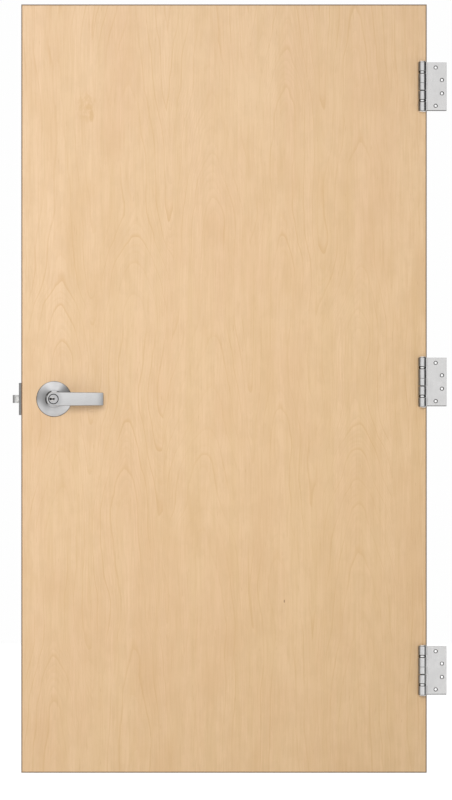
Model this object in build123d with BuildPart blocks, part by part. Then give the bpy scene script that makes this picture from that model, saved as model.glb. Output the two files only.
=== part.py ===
from build123d import *
import os
from math import acos, cos, degrees, radians, sin

# A flush wooden door, shut, on three ball-bearing hinges, with a keyed lever latch set.
# Millimetres. +Z is up, +X runs from the latch edge to the hinges, and -Y is the side that
# the door opens towards. The origin is the middle of the back face of the bottom hinge's
# frame leaf, the face that is screwed to the door frame.

# Door leaf: a core with stiles, rails and hardwood edges, under crossbands and face veneers.
door_width = 1060.5
door_height = 2009.8
door_thickness = 44.5
veneer_thickness = 0.6
crossband_thickness = 2.4
edge_ease = 2.0
stile_width = 28.5
edge_band_width = 6.5
rail_height = 38.0

# Hinges: the edge leaf is let into the edge of the door, and the frame leaf lies on the
# face of the frame. Heights are from the bottom of the door to the middle of a hinge.
hinge_heights = {"bottom": 268.3, "middle": 1022.2, "top": 1794.4}
hinge_height = 127.0
leaf_reach = 63.5
leaf_thickness = 4.8
leaf_corner_radius = 1.0
leaf_edge_chamfer = 0.5
edge_leaf_width = 38.1
knuckle_radius = 10.4
outer_knuckle_height = 22.8
inner_knuckle_height = 24.6
knuckle_end_chamfer = 0.6
knuckle_play = 0.2
open_joint = 2.2
bearing_space = 6.8
bearing_radius = 10.1
bearing_neck_radius = 8.8
bearing_neck_height = 1.5
pin_radius = 5.1
pin_head_radius = 9.0
pin_head_height = 3.2
pin_head_fillet = 2.4
running_clearance = 0.1
face_clearance = 1.2
frame_leaf_gap = 1.2
frame_leaf_step = 0.8
edge_leaf_step = 1.6

# Countersunk screw holes of the leaves, measured from the pin, and their spacing in height.
screw_hole_radius = 3.2
countersink_radius = 5.6
frame_hole_near = 35.2
frame_hole_far = 51.6
edge_hole_near = 22.0
edge_hole_far = 38.5
outer_hole_spacing = 100.0
inner_hole_spacing = 35.0

# Latch set: heights are from the bottom of the door, depths are from its face.
lock_height = 977.7
backset = 86.0
cross_bore_radius = 27.0
edge_bore_radius = 12.7
bore_clearance = 0.2
rose_radius = 46.5
rose_rim = 2.4
rose_rim_fillet = 0.8
rose_dome_depth = 9.5
collar_radius = 22.5
collar_depth = 15.5
collar_fillet = 1.0
sleeve_radius = 17.0
sleeve_depth = 10.0
spindle_radius = 8.0
spindle_depth = 36.0
lever_end_play = 0.3
shank_clearance = 0.5
shank_straight = 38.0
hub_radius = 17.8
hub_flare_depth = 49.0
hub_depth = 62.0
lever_length = 130.0
blade_thickness = 9.5
blade_tip_thickness = 7.5
blade_tip_half_height = 16.8
blade_bend_start = 52.0
blade_knee = 103.0
blade_knee_drop = 4.0
blade_tip_drop = 12.0
blade_corner_fillet = 3.0
blade_edge_fillet = 1.5

# Key cylinder in the outside lever.
cylinder_radius = 12.4
cylinder_length = 21.0
cylinder_chamfer = 1.0
cylinder_seat_chamfer = 0.6
plug_radius = 7.2
plug_offset = 3.4
plug_proud = 0.6
plug_floor = 1.5
keyway_length = 12.8
keyway_width = 3.0
keyway_head_radius = 2.5
keyway_depth = 16.0

# Latch: a bevelled bolt and a deadlocking plunger share one round case.
face_plate_height = 84.4
face_plate_width = 28.6
face_plate_proud = 6.5
face_plate_seat = 1.5
face_plate_chamfer = 0.8
face_plate_hole_spacing = 64.0
face_plate_hole_radius = 2.3
face_plate_countersink = 4.4
case_wall = 1.6
bolt_clearance = 0.3
bolt_split = -3.6
bolt_throw = 16.5
bolt_tail = 34.0
bolt_bevel_low = 3.0
bolt_nose_land = 4.0
bolt_nose_fillet = 0.8
plunger_throw = 8.9
plunger_tail = 30.0
plunger_nose_chamfer = 1.8

# Places and sizes that follow from those above.
pin_inset = knuckle_radius + edge_leaf_step
frame_plate_width = leaf_reach - pin_inset - frame_leaf_gap
edge_x = -frame_plate_width / 2 - frame_leaf_gap
pin_x = edge_x - pin_inset
pin_y = -frame_leaf_step - knuckle_radius
face_y = pin_y + knuckle_radius + face_clearance
back_y = face_y + door_thickness
latch_edge_x = edge_x - door_width
bottom_z = -hinge_heights["bottom"]
lock_x = latch_edge_x + backset
lock_z = bottom_z + lock_height
core_thickness = door_thickness - 2 * (veneer_thickness + crossband_thickness)
core_width = door_width - 2 * (stile_width + edge_band_width)
core_height = door_height - 2 * rail_height
crossband_ease = edge_ease - veneer_thickness
knuckle_bore = pin_radius + running_clearance
centre_knuckle_height = hinge_height - 2 * (outer_knuckle_height + inner_knuckle_height + bearing_space)
strap_angle = degrees(acos((knuckle_radius - leaf_thickness) / knuckle_radius))
rose_bore = sleeve_radius + running_clearance
shank_radius = rose_bore - shank_clearance
case_radius = edge_bore_radius - running_clearance
case_bore = case_radius - case_wall
bolt_radius = case_bore - bolt_clearance

# Planes: each looks out of the door, from the middle of a face or from the latch set.
middle = (edge_x - door_width / 2, (face_y + back_y) / 2, bottom_z + door_height / 2)
front_plane = Plane(origin=middle, x_dir=(1, 0, 0), z_dir=(0, -1, 0))
back_plane = Plane(origin=middle, x_dir=(1, 0, 0), z_dir=(0, 1, 0))
outside_plane = Plane(origin=(lock_x, face_y, lock_z), x_dir=(1, 0, 0), z_dir=(0, -1, 0))
inside_plane = Plane(origin=(lock_x, back_y, lock_z), x_dir=(1, 0, 0), z_dir=(0, 1, 0))
plug_plane = Plane(origin=(lock_x - plug_offset, face_y, lock_z), x_dir=(1, 0, 0), z_dir=(0, -1, 0))
latch_plane = Plane(origin=(latch_edge_x, middle[1], lock_z), x_dir=(0, 1, 0), z_dir=(-1, 0, 0))


def hinge_z(place):
    return bottom_z + hinge_heights[place]


def cut_hinge_mortises():
    """Cuts the seats of the three edge leaves."""
    for place in hinge_heights:
        with Locations((edge_x - leaf_thickness, face_y, hinge_z(place))):
            Box(
                leaf_thickness,
                edge_leaf_width,
                hinge_height,
                align=(Align.MIN, Align.MIN, Align.CENTER),
                mode=Mode.SUBTRACT,
            )


def cut_cross_bore():
    """Cuts the bore for the lock chassis through the door."""
    with Locations(outside_plane):
        Cylinder(
            cross_bore_radius,
            door_thickness,
            align=(Align.CENTER, Align.CENTER, Align.MAX),
            mode=Mode.SUBTRACT,
        )


def cut_latch_bore():
    """Cuts the bore for the latch case from the edge, and the seat of the face plate."""
    with Locations(latch_plane):
        Cylinder(
            edge_bore_radius,
            backset,
            align=(Align.CENTER, Align.CENTER, Align.MAX),
            mode=Mode.SUBTRACT,
        )
        Box(
            face_plate_width,
            face_plate_height,
            face_plate_seat,
            align=(Align.CENTER, Align.CENTER, Align.MAX),
            mode=Mode.SUBTRACT,
        )


# Door leaf: inner frame
with BuildPart() as core:
    with BuildSketch(front_plane):
        Rectangle(core_width, core_height)
    extrude(amount=core_thickness / 2, both=True)
    cut_cross_bore()
    cut_latch_bore()

with BuildPart() as latch_stile:
    with BuildSketch(front_plane):
        with Locations((edge_band_width - door_width / 2, 0)):
            Rectangle(stile_width, door_height, align=(Align.MIN, Align.CENTER))
    extrude(amount=core_thickness / 2, both=True)
    cut_latch_bore()

with BuildPart() as hinge_stile:
    with BuildSketch(front_plane):
        with Locations((door_width / 2 - edge_band_width, 0)):
            Rectangle(stile_width, door_height, align=(Align.MAX, Align.CENTER))
    extrude(amount=core_thickness / 2, both=True)
    cut_hinge_mortises()

with BuildPart() as latch_edge_band:
    with BuildSketch(front_plane):
        with Locations((-door_width / 2, 0)):
            Rectangle(edge_band_width, door_height, align=(Align.MIN, Align.CENTER))
    extrude(amount=core_thickness / 2, both=True)
    cut_latch_bore()

with BuildPart() as hinge_edge_band:
    with BuildSketch(front_plane):
        with Locations((door_width / 2, 0)):
            Rectangle(edge_band_width, door_height, align=(Align.MAX, Align.CENTER))
    extrude(amount=core_thickness / 2, both=True)
    cut_hinge_mortises()

with BuildPart() as top_rail:
    with BuildSketch(front_plane):
        with Locations((0, core_height / 2)):
            Rectangle(core_width, rail_height, align=(Align.CENTER, Align.MIN))
    extrude(amount=core_thickness / 2, both=True)

with BuildPart() as bottom_rail:
    with BuildSketch(front_plane):
        with Locations((0, -core_height / 2)):
            Rectangle(core_width, rail_height, align=(Align.CENTER, Align.MAX))
    extrude(amount=core_thickness / 2, both=True)


# Door leaf: skins. The corner round each face is eased through the veneer into the crossband.
def make_crossband(side):
    with BuildPart() as crossband:
        with BuildSketch(side.offset(core_thickness / 2)):
            Rectangle(door_width, door_height)
        extrude(amount=crossband_thickness)
        outer_face = crossband.faces().sort_by(Axis(side.origin, side.z_dir))[-1]
        chamfer(outer_face.edges(), crossband_ease)
        cut_cross_bore()
        cut_hinge_mortises()
    return crossband


def make_veneer(side):
    with BuildPart() as veneer:
        with BuildSketch(side.offset(core_thickness / 2 + crossband_thickness)):
            Rectangle(door_width - 2 * crossband_ease, door_height - 2 * crossband_ease)
        extrude(amount=veneer_thickness, taper=45)
        cut_cross_bore()
        cut_hinge_mortises()
    return veneer


front_crossband = make_crossband(front_plane)
back_crossband = make_crossband(back_plane)
front_veneer = make_veneer(front_plane)
back_veneer = make_veneer(back_plane)

# Hinges: levels of the knuckles from the middle of a hinge. The frame leaf has the two outer
# knuckles and the centre one, the edge leaf the two between, and a bearing sits by each. The
# door's weight rests on the bearings, so the joint under the centre knuckle stands open.
half_height = hinge_height / 2
bearing_top = half_height - outer_knuckle_height
bearing_bottom = bearing_top - bearing_space
half_centre = centre_knuckle_height / 2
frame_levels = [
    (bearing_top, half_height),
    (-half_centre, half_centre),
    (-half_height, -bearing_top),
]
edge_levels = [
    (half_centre + knuckle_play, bearing_bottom - knuckle_play),
    (-bearing_bottom + knuckle_play, -half_centre - open_joint),
]


def add_knuckles(place, levels, strap, first_angle):
    """Adds knuckles with their straps, bores them for the pin and eases their ends.

    strap holds the strap's corners from the pin. The easing runs round the outside, from
    first_angle anticlockwise to where the strap leaves the knuckle.
    """
    z = hinge_z(place)
    for low, high in levels:
        with BuildSketch(Plane((pin_x, pin_y, z + low))) as section:
            Circle(knuckle_radius)
            Polygon(*strap, align=None)
        extrude(section.sketch, amount=high - low)
    with Locations((pin_x, pin_y, z)):
        Cylinder(knuckle_bore, hinge_height, mode=Mode.SUBTRACT)
    radial = Vector(cos(radians(first_angle)), sin(radians(first_angle)), 0)
    inner = knuckle_radius - knuckle_end_chamfer
    outer = knuckle_radius + knuckle_end_chamfer
    for end, towards in [(low, 1) for low, high in levels] + [(high, -1) for low, high in levels]:
        ring_plane = Plane((pin_x, pin_y, z + end), x_dir=radial, z_dir=radial.cross(Vector(0, 0, 1)))
        with BuildSketch(ring_plane) as groove:
            Polygon((inner, 0), (outer, 0), (outer, 2 * knuckle_end_chamfer * towards), align=None)
        revolve(
            groove.sketch,
            axis=Axis((pin_x, pin_y, z), (0, 0, 1)),
            revolution_arc=360 - strap_angle,
            mode=Mode.SUBTRACT,
        )


def make_edge_leaf(place):
    """The leaf in the door's edge: flush with it, with its straps in front of the door."""
    z = hinge_z(place)
    to_door = face_y - pin_y
    strap = [
        (knuckle_radius - leaf_thickness, 0),
        (knuckle_radius, 0),
        (pin_inset, to_door),
        (pin_inset - leaf_thickness, to_door),
    ]
    edge_plane = Plane((edge_x, pin_y, z), x_dir=(0, 1, 0), z_dir=(1, 0, 0))
    with BuildPart() as edge_leaf:
        with BuildSketch(edge_plane):
            with Locations((to_door, 0)):
                Rectangle(edge_leaf_width, hinge_height, align=(Align.MIN, Align.CENTER))
        extrude(amount=-leaf_thickness)
        add_knuckles(place, edge_levels, strap, strap_angle)
        with Locations(edge_plane):
            with Locations((edge_hole_near, 0)):
                with GridLocations(0, outer_hole_spacing, 1, 2):
                    CounterSinkHole(screw_hole_radius, countersink_radius, leaf_thickness)
            with Locations((edge_hole_far, 0)):
                with GridLocations(0, inner_hole_spacing, 1, 2):
                    CounterSinkHole(screw_hole_radius, countersink_radius, leaf_thickness)
    return edge_leaf


def make_frame_leaf(place):
    """The leaf on the frame's face: its straps step forward to the knuckles."""
    z = hinge_z(place)
    to_plate = pin_inset + frame_leaf_gap
    back = knuckle_radius + frame_leaf_step
    strap = [
        (0, knuckle_radius - leaf_thickness),
        (to_plate, back - leaf_thickness),
        (to_plate, back),
        (0, knuckle_radius),
    ]
    leaf_plane = Plane((pin_x, -leaf_thickness, z), x_dir=(1, 0, 0), z_dir=(0, -1, 0))
    with BuildPart() as frame_leaf:
        with BuildSketch(leaf_plane):
            with Locations((to_plate, 0)):
                Rectangle(frame_plate_width, hinge_height, align=(Align.MIN, Align.CENTER))
        extrude(amount=-leaf_thickness)
        fillet(frame_leaf.edges().filter_by(Axis.Y).group_by(Axis.X)[-1], leaf_corner_radius)
        chamfer(frame_leaf.faces().sort_by(Axis.Y)[0].edges(), leaf_edge_chamfer)
        add_knuckles(place, frame_levels, strap, 90)
        with Locations(leaf_plane):
            with Locations((frame_hole_near, 0)):
                with GridLocations(0, outer_hole_spacing, 1, 2):
                    CounterSinkHole(screw_hole_radius, countersink_radius, leaf_thickness)
            with Locations((frame_hole_far, 0)):
                with GridLocations(0, inner_hole_spacing, 1, 2):
                    CounterSinkHole(screw_hole_radius, countersink_radius, leaf_thickness)
    return frame_leaf


def make_pin(place):
    """The pin with its button head and its pressed bottom plug."""
    with BuildPart() as pin:
        with Locations((pin_x, pin_y, hinge_z(place))):
            Cylinder(pin_radius, hinge_height)
            with Locations((0, 0, half_height)):
                Cylinder(pin_head_radius, pin_head_height, align=(Align.CENTER, Align.CENTER, Align.MIN))
            with Locations((0, 0, -half_height)):
                Cylinder(pin_head_radius, pin_head_height, align=(Align.CENTER, Align.CENTER, Align.MAX))
        rims = pin.edges().filter_by(GeomType.CIRCLE).group_by(Axis.Z)
        fillet(rims[0] + rims[-1], pin_head_fillet)
    return pin


def make_bearings(place):
    """Two bearing rings, each with a neck at both ends that shows as a dark groove."""
    neck_top = bearing_space - bearing_neck_height
    with BuildPart() as bearings:
        for level in (bearing_bottom, -bearing_top):
            ring_plane = Plane((pin_x, pin_y, hinge_z(place) + level), x_dir=(1, 0, 0), z_dir=(0, -1, 0))
            with BuildSketch(ring_plane):
                Polygon(
                    (knuckle_bore, 0),
                    (bearing_neck_radius, 0),
                    (bearing_neck_radius, bearing_neck_height),
                    (bearing_radius, bearing_neck_height),
                    (bearing_radius, neck_top),
                    (bearing_neck_radius, neck_top),
                    (bearing_neck_radius, bearing_space),
                    (knuckle_bore, bearing_space),
                    align=None,
                )
            revolve(axis=Axis((pin_x, pin_y, 0), (0, 0, 1)))
    return bearings


# Latch set: roses, levers and chassis.
def section_plane(side):
    """The level plane through the lock's axis: across the door and out of its face."""
    return Plane(side.origin, x_dir=side.x_dir, z_dir=side.x_dir.cross(side.z_dir))


def make_rose(side):
    """A dished rose with a raised collar, turned about the lock's axis."""
    with BuildPart() as rose:
        with BuildSketch(section_plane(side)):
            with BuildLine():
                Polyline((rose_bore, 0), (rose_radius, 0), (rose_radius, rose_rim))
                TangentArc((collar_radius, rose_dome_depth), (rose_radius, rose_rim), tangent=(1, 0))
                Polyline((collar_radius, rose_dome_depth), (collar_radius, collar_depth))
                Polyline((collar_radius, collar_depth), (rose_bore, collar_depth), (rose_bore, 0))
            make_face()
        axis = Axis(side.origin, side.z_dir)
        revolve(axis=axis)
        circles = rose.edges().filter_by(GeomType.CIRCLE)
        rim = circles.filter_by(lambda edge: abs(edge.radius - rose_radius) < 0.01).sort_by(axis)[-1]
        fillet(rim, rose_rim_fillet)
        circles = rose.edges().filter_by(GeomType.CIRCLE)
        lip = circles.filter_by(lambda edge: abs(edge.radius - collar_radius) < 0.01).sort_by(axis)[-1]
        fillet(lip, collar_fillet)
    return rose


def blade_surface(depth, tip_depth):
    """Draws one face of the blade in its top view, and returns its end: flat, then two bends."""
    bend = (blade_bend_start, depth)
    knee = (blade_knee, depth - blade_knee_drop)
    tip = (lever_length, tip_depth)
    Line((-hub_radius, depth), bend)
    first = TangentArc(bend, knee, tangent=(1, 0))
    TangentArc(knee, tip, tangent=first % 1)
    return tip


def make_lever(side):
    """A lever: the front view of its blade times the top view, on a turned and flared hub."""
    hub_middle = hub_depth - blade_thickness / 2
    shank_start = sleeve_depth + lever_end_play
    with BuildPart() as lever:
        with BuildSketch(side.offset(hub_depth)):
            Circle(hub_radius)
            Polygon(
                (0, hub_radius),
                (0, -hub_radius),
                (lever_length, -blade_tip_half_height),
                (lever_length, blade_tip_half_height),
                align=None,
            )
        extrude(amount=-blade_thickness - blade_tip_drop)
        with BuildSketch(section_plane(side)):
            with BuildLine():
                front_end = blade_surface(hub_depth, hub_depth - blade_tip_drop)
                back_depth = hub_depth - blade_thickness
                back_end = blade_surface(back_depth, hub_depth - blade_tip_drop - blade_tip_thickness)
                Line(front_end, back_end)
                Line((-hub_radius, hub_depth), (-hub_radius, back_depth))
            make_face()
        extrude(amount=hub_radius, both=True, mode=Mode.INTERSECT)
        tip_face = lever.faces().sort_by(Axis.X)[-1]
        fillet(tip_face.edges().filter_by(Axis.Y), blade_corner_fillet)
        outline = lever.edges().filter_by(lambda edge: not edge.is_interior)
        fillet(outline.filter_by(Axis.Y, reverse=True), blade_edge_fillet)
        with BuildSketch(section_plane(side)):
            with BuildLine():
                Polyline((0, shank_start), (shank_radius, shank_start), (shank_radius, shank_straight))
                Spline(
                    (shank_radius, shank_straight),
                    (hub_radius, hub_flare_depth),
                    tangents=((0, 1), (0, 1)),
                )
                Polyline((hub_radius, hub_flare_depth), (hub_radius, hub_middle), (0, hub_middle))
                Line((0, hub_middle), (0, shank_start))
            make_face()
        revolve(axis=Axis(side.origin, side.z_dir))
        with Locations(side.offset(spindle_depth + lever_end_play)):
            Cylinder(
                spindle_radius + running_clearance,
                spindle_depth,
                align=(Align.CENTER, Align.CENTER, Align.MAX),
                mode=Mode.SUBTRACT,
            )
    return lever


core_pieces = {
    "core": core,
    "latch_stile": latch_stile,
    "hinge_stile": hinge_stile,
    "top_rail": top_rail,
    "bottom_rail": bottom_rail,
    "latch_edge_band": latch_edge_band,
    "hinge_edge_band": hinge_edge_band,
    "front_crossband": front_crossband,
    "back_crossband": back_crossband,
    "front_veneer": front_veneer,
    "back_veneer": back_veneer,
}

outside_rose = make_rose(outside_plane)
inside_rose = make_rose(inside_plane)
inside_lever = make_lever(inside_plane)
outside_lever = make_lever(outside_plane)

# The outside lever is bored from the front for the key cylinder.
cylinder_bore = cylinder_radius + running_clearance
with outside_lever:
    with Locations(outside_plane.offset(hub_depth)):
        Hole(cylinder_bore, cylinder_length)
    circles = outside_lever.edges().filter_by(GeomType.CIRCLE)
    mouth = circles.filter_by(lambda edge: abs(edge.radius - cylinder_bore) < 0.01).sort_by(Axis.Y)[0]
    chamfer(mouth, cylinder_seat_chamfer)

with BuildPart() as key_cylinder:
    with BuildSketch(outside_plane.offset(hub_depth - cylinder_length)):
        Circle(cylinder_radius)
    extrude(amount=cylinder_length)
    chamfer(key_cylinder.edges().sort_by(Axis.Y)[0], cylinder_chamfer)
    with Locations(plug_plane.offset(hub_depth)):
        Hole(plug_radius + running_clearance, cylinder_length - plug_floor)

with BuildPart() as key_plug:
    with BuildSketch(plug_plane.offset(hub_depth - cylinder_length + plug_floor)):
        Circle(plug_radius)
    extrude(amount=cylinder_length - plug_floor + plug_proud)
    chamfer(key_plug.edges().sort_by(Axis.Y)[0], plug_proud / 2)
    with BuildSketch(plug_plane.offset(hub_depth + plug_proud)):
        SlotOverall(keyway_length, keyway_width)
        with Locations((keyway_head_radius - keyway_length / 2, 0)):
            Circle(keyway_head_radius)
    extrude(amount=-keyway_depth, mode=Mode.SUBTRACT)

# The chassis fills the cross bore, with a sleeve for each rose and a spindle for each lever.
with BuildPart() as lock_chassis:
    for side in (outside_plane, inside_plane):
        with Locations(side.offset(-door_thickness / 2)):
            Cylinder(
                cross_bore_radius - bore_clearance,
                door_thickness / 2,
                align=(Align.CENTER, Align.CENTER, Align.MIN),
            )
        with Locations(side):
            Cylinder(sleeve_radius, sleeve_depth, align=(Align.CENTER, Align.CENTER, Align.MIN))
            Cylinder(spindle_radius, spindle_depth, align=(Align.CENTER, Align.CENTER, Align.MIN))

# Latch: distances along latch_plane's normal are from the door's edge, outwards.
case_end = cross_bore_radius - backset
bolt_tip = face_plate_proud + bolt_throw
plate_thickness = face_plate_proud + face_plate_seat

with BuildPart() as latch_case:
    with BuildSketch(latch_plane.offset(case_end)):
        Circle(case_radius)
        Circle(case_bore, mode=Mode.SUBTRACT)
    extrude(amount=-face_plate_seat - case_end)

with BuildPart() as face_plate:
    with BuildSketch(latch_plane.offset(-face_plate_seat)):
        Rectangle(face_plate_width, face_plate_height)
        Circle(case_bore, mode=Mode.SUBTRACT)
    extrude(amount=plate_thickness)
    rim = face_plate.faces().sort_by(Axis.X)[0].outer_wire()
    chamfer(rim.edges(), face_plate_chamfer)
    with Locations(latch_plane.offset(face_plate_proud)):
        with GridLocations(0, face_plate_hole_spacing, 1, 2):
            CounterSinkHole(face_plate_hole_radius, face_plate_countersink, plate_thickness)

with BuildPart() as latch_bolt:
    with BuildSketch(latch_plane.offset(face_plate_proud - bolt_tail)):
        Circle(bolt_radius)
        with Locations((bolt_split + bolt_clearance / 2, 0)):
            Rectangle(
                2 * bolt_radius,
                2 * bolt_radius,
                align=(Align.MIN, Align.CENTER),
                mode=Mode.INTERSECT,
            )
    extrude(amount=bolt_tail + bolt_throw)
    bevel_plane = Plane(latch_plane.origin, x_dir=(-1, 0, 0), z_dir=(0, 0, -1))
    with BuildSketch(bevel_plane):
        Polygon(
            (bolt_tip, bolt_split + bolt_nose_land),
            (bolt_tip, bolt_radius),
            (face_plate_proud + bolt_bevel_low, bolt_radius),
            align=None,
        )
    extrude(amount=bolt_radius, both=True, mode=Mode.SUBTRACT)
    fillet(latch_bolt.edges().filter_by(Axis.Z).group_by(Axis.X)[0], bolt_nose_fillet)

with BuildPart() as deadlatch_plunger:
    with BuildSketch(latch_plane.offset(face_plate_proud - plunger_tail)):
        Circle(bolt_radius)
        with Locations((bolt_split - bolt_clearance / 2, 0)):
            Rectangle(
                2 * bolt_radius,
                2 * bolt_radius,
                align=(Align.MAX, Align.CENTER),
                mode=Mode.INTERSECT,
            )
    extrude(amount=plunger_tail + plunger_throw)
    chamfer(deadlatch_plunger.faces().sort_by(Axis.X)[0].edges(), plunger_nose_chamfer)

pieces = core_pieces | {
    "outside_rose": outside_rose,
    "inside_rose": inside_rose,
    "outside_lever": outside_lever,
    "inside_lever": inside_lever,
    "key_cylinder": key_cylinder,
    "key_plug": key_plug,
    "lock_chassis": lock_chassis,
    "latch_case": latch_case,
    "face_plate": face_plate,
    "latch_bolt": latch_bolt,
    "deadlatch_plunger": deadlatch_plunger,
}
for place in hinge_heights:
    pieces[f"{place}_hinge_edge_leaf"] = make_edge_leaf(place)
    pieces[f"{place}_hinge_frame_leaf"] = make_frame_leaf(place)
    pieces[f"{place}_hinge_pin"] = make_pin(place)
    pieces[f"{place}_hinge_bearings"] = make_bearings(place)

os.makedirs("parts", exist_ok=True)
for name, piece in pieces.items():
    piece.part.label = name
    export_step(piece.part, f"parts/{name}.step")
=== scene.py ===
import math
from functools import partial, reduce

import bmesh
import bpy
import numpy as np
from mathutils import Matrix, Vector


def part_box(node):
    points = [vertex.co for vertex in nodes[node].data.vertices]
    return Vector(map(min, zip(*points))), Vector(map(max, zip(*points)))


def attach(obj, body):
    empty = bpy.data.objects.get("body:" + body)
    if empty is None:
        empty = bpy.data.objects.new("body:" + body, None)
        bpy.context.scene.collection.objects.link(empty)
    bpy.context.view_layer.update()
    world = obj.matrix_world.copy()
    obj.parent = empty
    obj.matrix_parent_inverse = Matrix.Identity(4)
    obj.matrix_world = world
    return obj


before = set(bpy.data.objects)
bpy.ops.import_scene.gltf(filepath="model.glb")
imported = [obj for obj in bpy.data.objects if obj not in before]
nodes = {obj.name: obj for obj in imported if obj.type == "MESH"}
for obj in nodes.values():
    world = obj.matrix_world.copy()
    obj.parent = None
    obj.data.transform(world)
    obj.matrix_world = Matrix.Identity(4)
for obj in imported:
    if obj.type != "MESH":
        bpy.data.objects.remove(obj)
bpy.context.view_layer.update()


def middle_of(node):
    """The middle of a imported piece's box."""
    low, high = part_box(node)
    return (low + high) / 2


# Places, in metres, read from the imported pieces. +X runs towards the hinges, -Y faces the camera
# and +Z is up.
X, Y, Z = range(3)
PLACES = ("bottom", "middle", "top")
latch_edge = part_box("latch_edge_band")[0].x
hinge_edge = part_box("hinge_edge_band")[1].x
door_bottom, door_top = (corner.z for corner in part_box("latch_stile"))
door_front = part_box("front_veneer")[0].y
door_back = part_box("back_veneer")[1].y
door_low = Vector((latch_edge, door_front, door_bottom))
door_high = Vector((hinge_edge, door_back, door_top))
door_size = door_high - door_low
door_middle = (door_low + door_high) / 2
lock_axis = middle_of("outside_rose")
pin_axis = middle_of("middle_hinge_pin")

# The photograph's frame in pixels, where the door's middle stands in it, and the lens.
PHOTO_WIDTH = 452
PHOTO_HEIGHT = 800
DOOR_MIDDLE_PX = (224.0, 388.6)
METRES_PER_PX = 0.0026155
CAMERA_DISTANCE = 14.0
CAMERA_REACH = 100.0
LEVEL_VIEW = (math.radians(90), 0.0, 0.0)
SENSOR = 36.0


def make_camera():
    """A long lens that looks straight at the door's face, framed as the photograph is."""
    data = bpy.data.cameras.new("camera")
    data.sensor_width = SENSOR
    data.lens = SENSOR * CAMERA_DISTANCE / (PHOTO_HEIGHT * METRES_PER_PX)
    data.clip_end = CAMERA_REACH
    camera = bpy.data.objects.new("camera", data)
    bpy.context.scene.collection.objects.link(camera)
    right = (PHOTO_WIDTH / 2 - DOOR_MIDDLE_PX[0]) * METRES_PER_PX
    up = (DOOR_MIDDLE_PX[1] - PHOTO_HEIGHT / 2) * METRES_PER_PX
    camera.location = (door_middle.x + right, door_front - CAMERA_DISTANCE, door_middle.z + up)
    camera.rotation_euler = LEVEL_VIEW
    bpy.context.scene.camera = camera


# The Mix node's sockets when it mixes colours.
FIRST_COLOUR = 6
SECOND_COLOUR = 7
MIXED_COLOUR = 2
OVAL_HEART = 0.2


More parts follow.
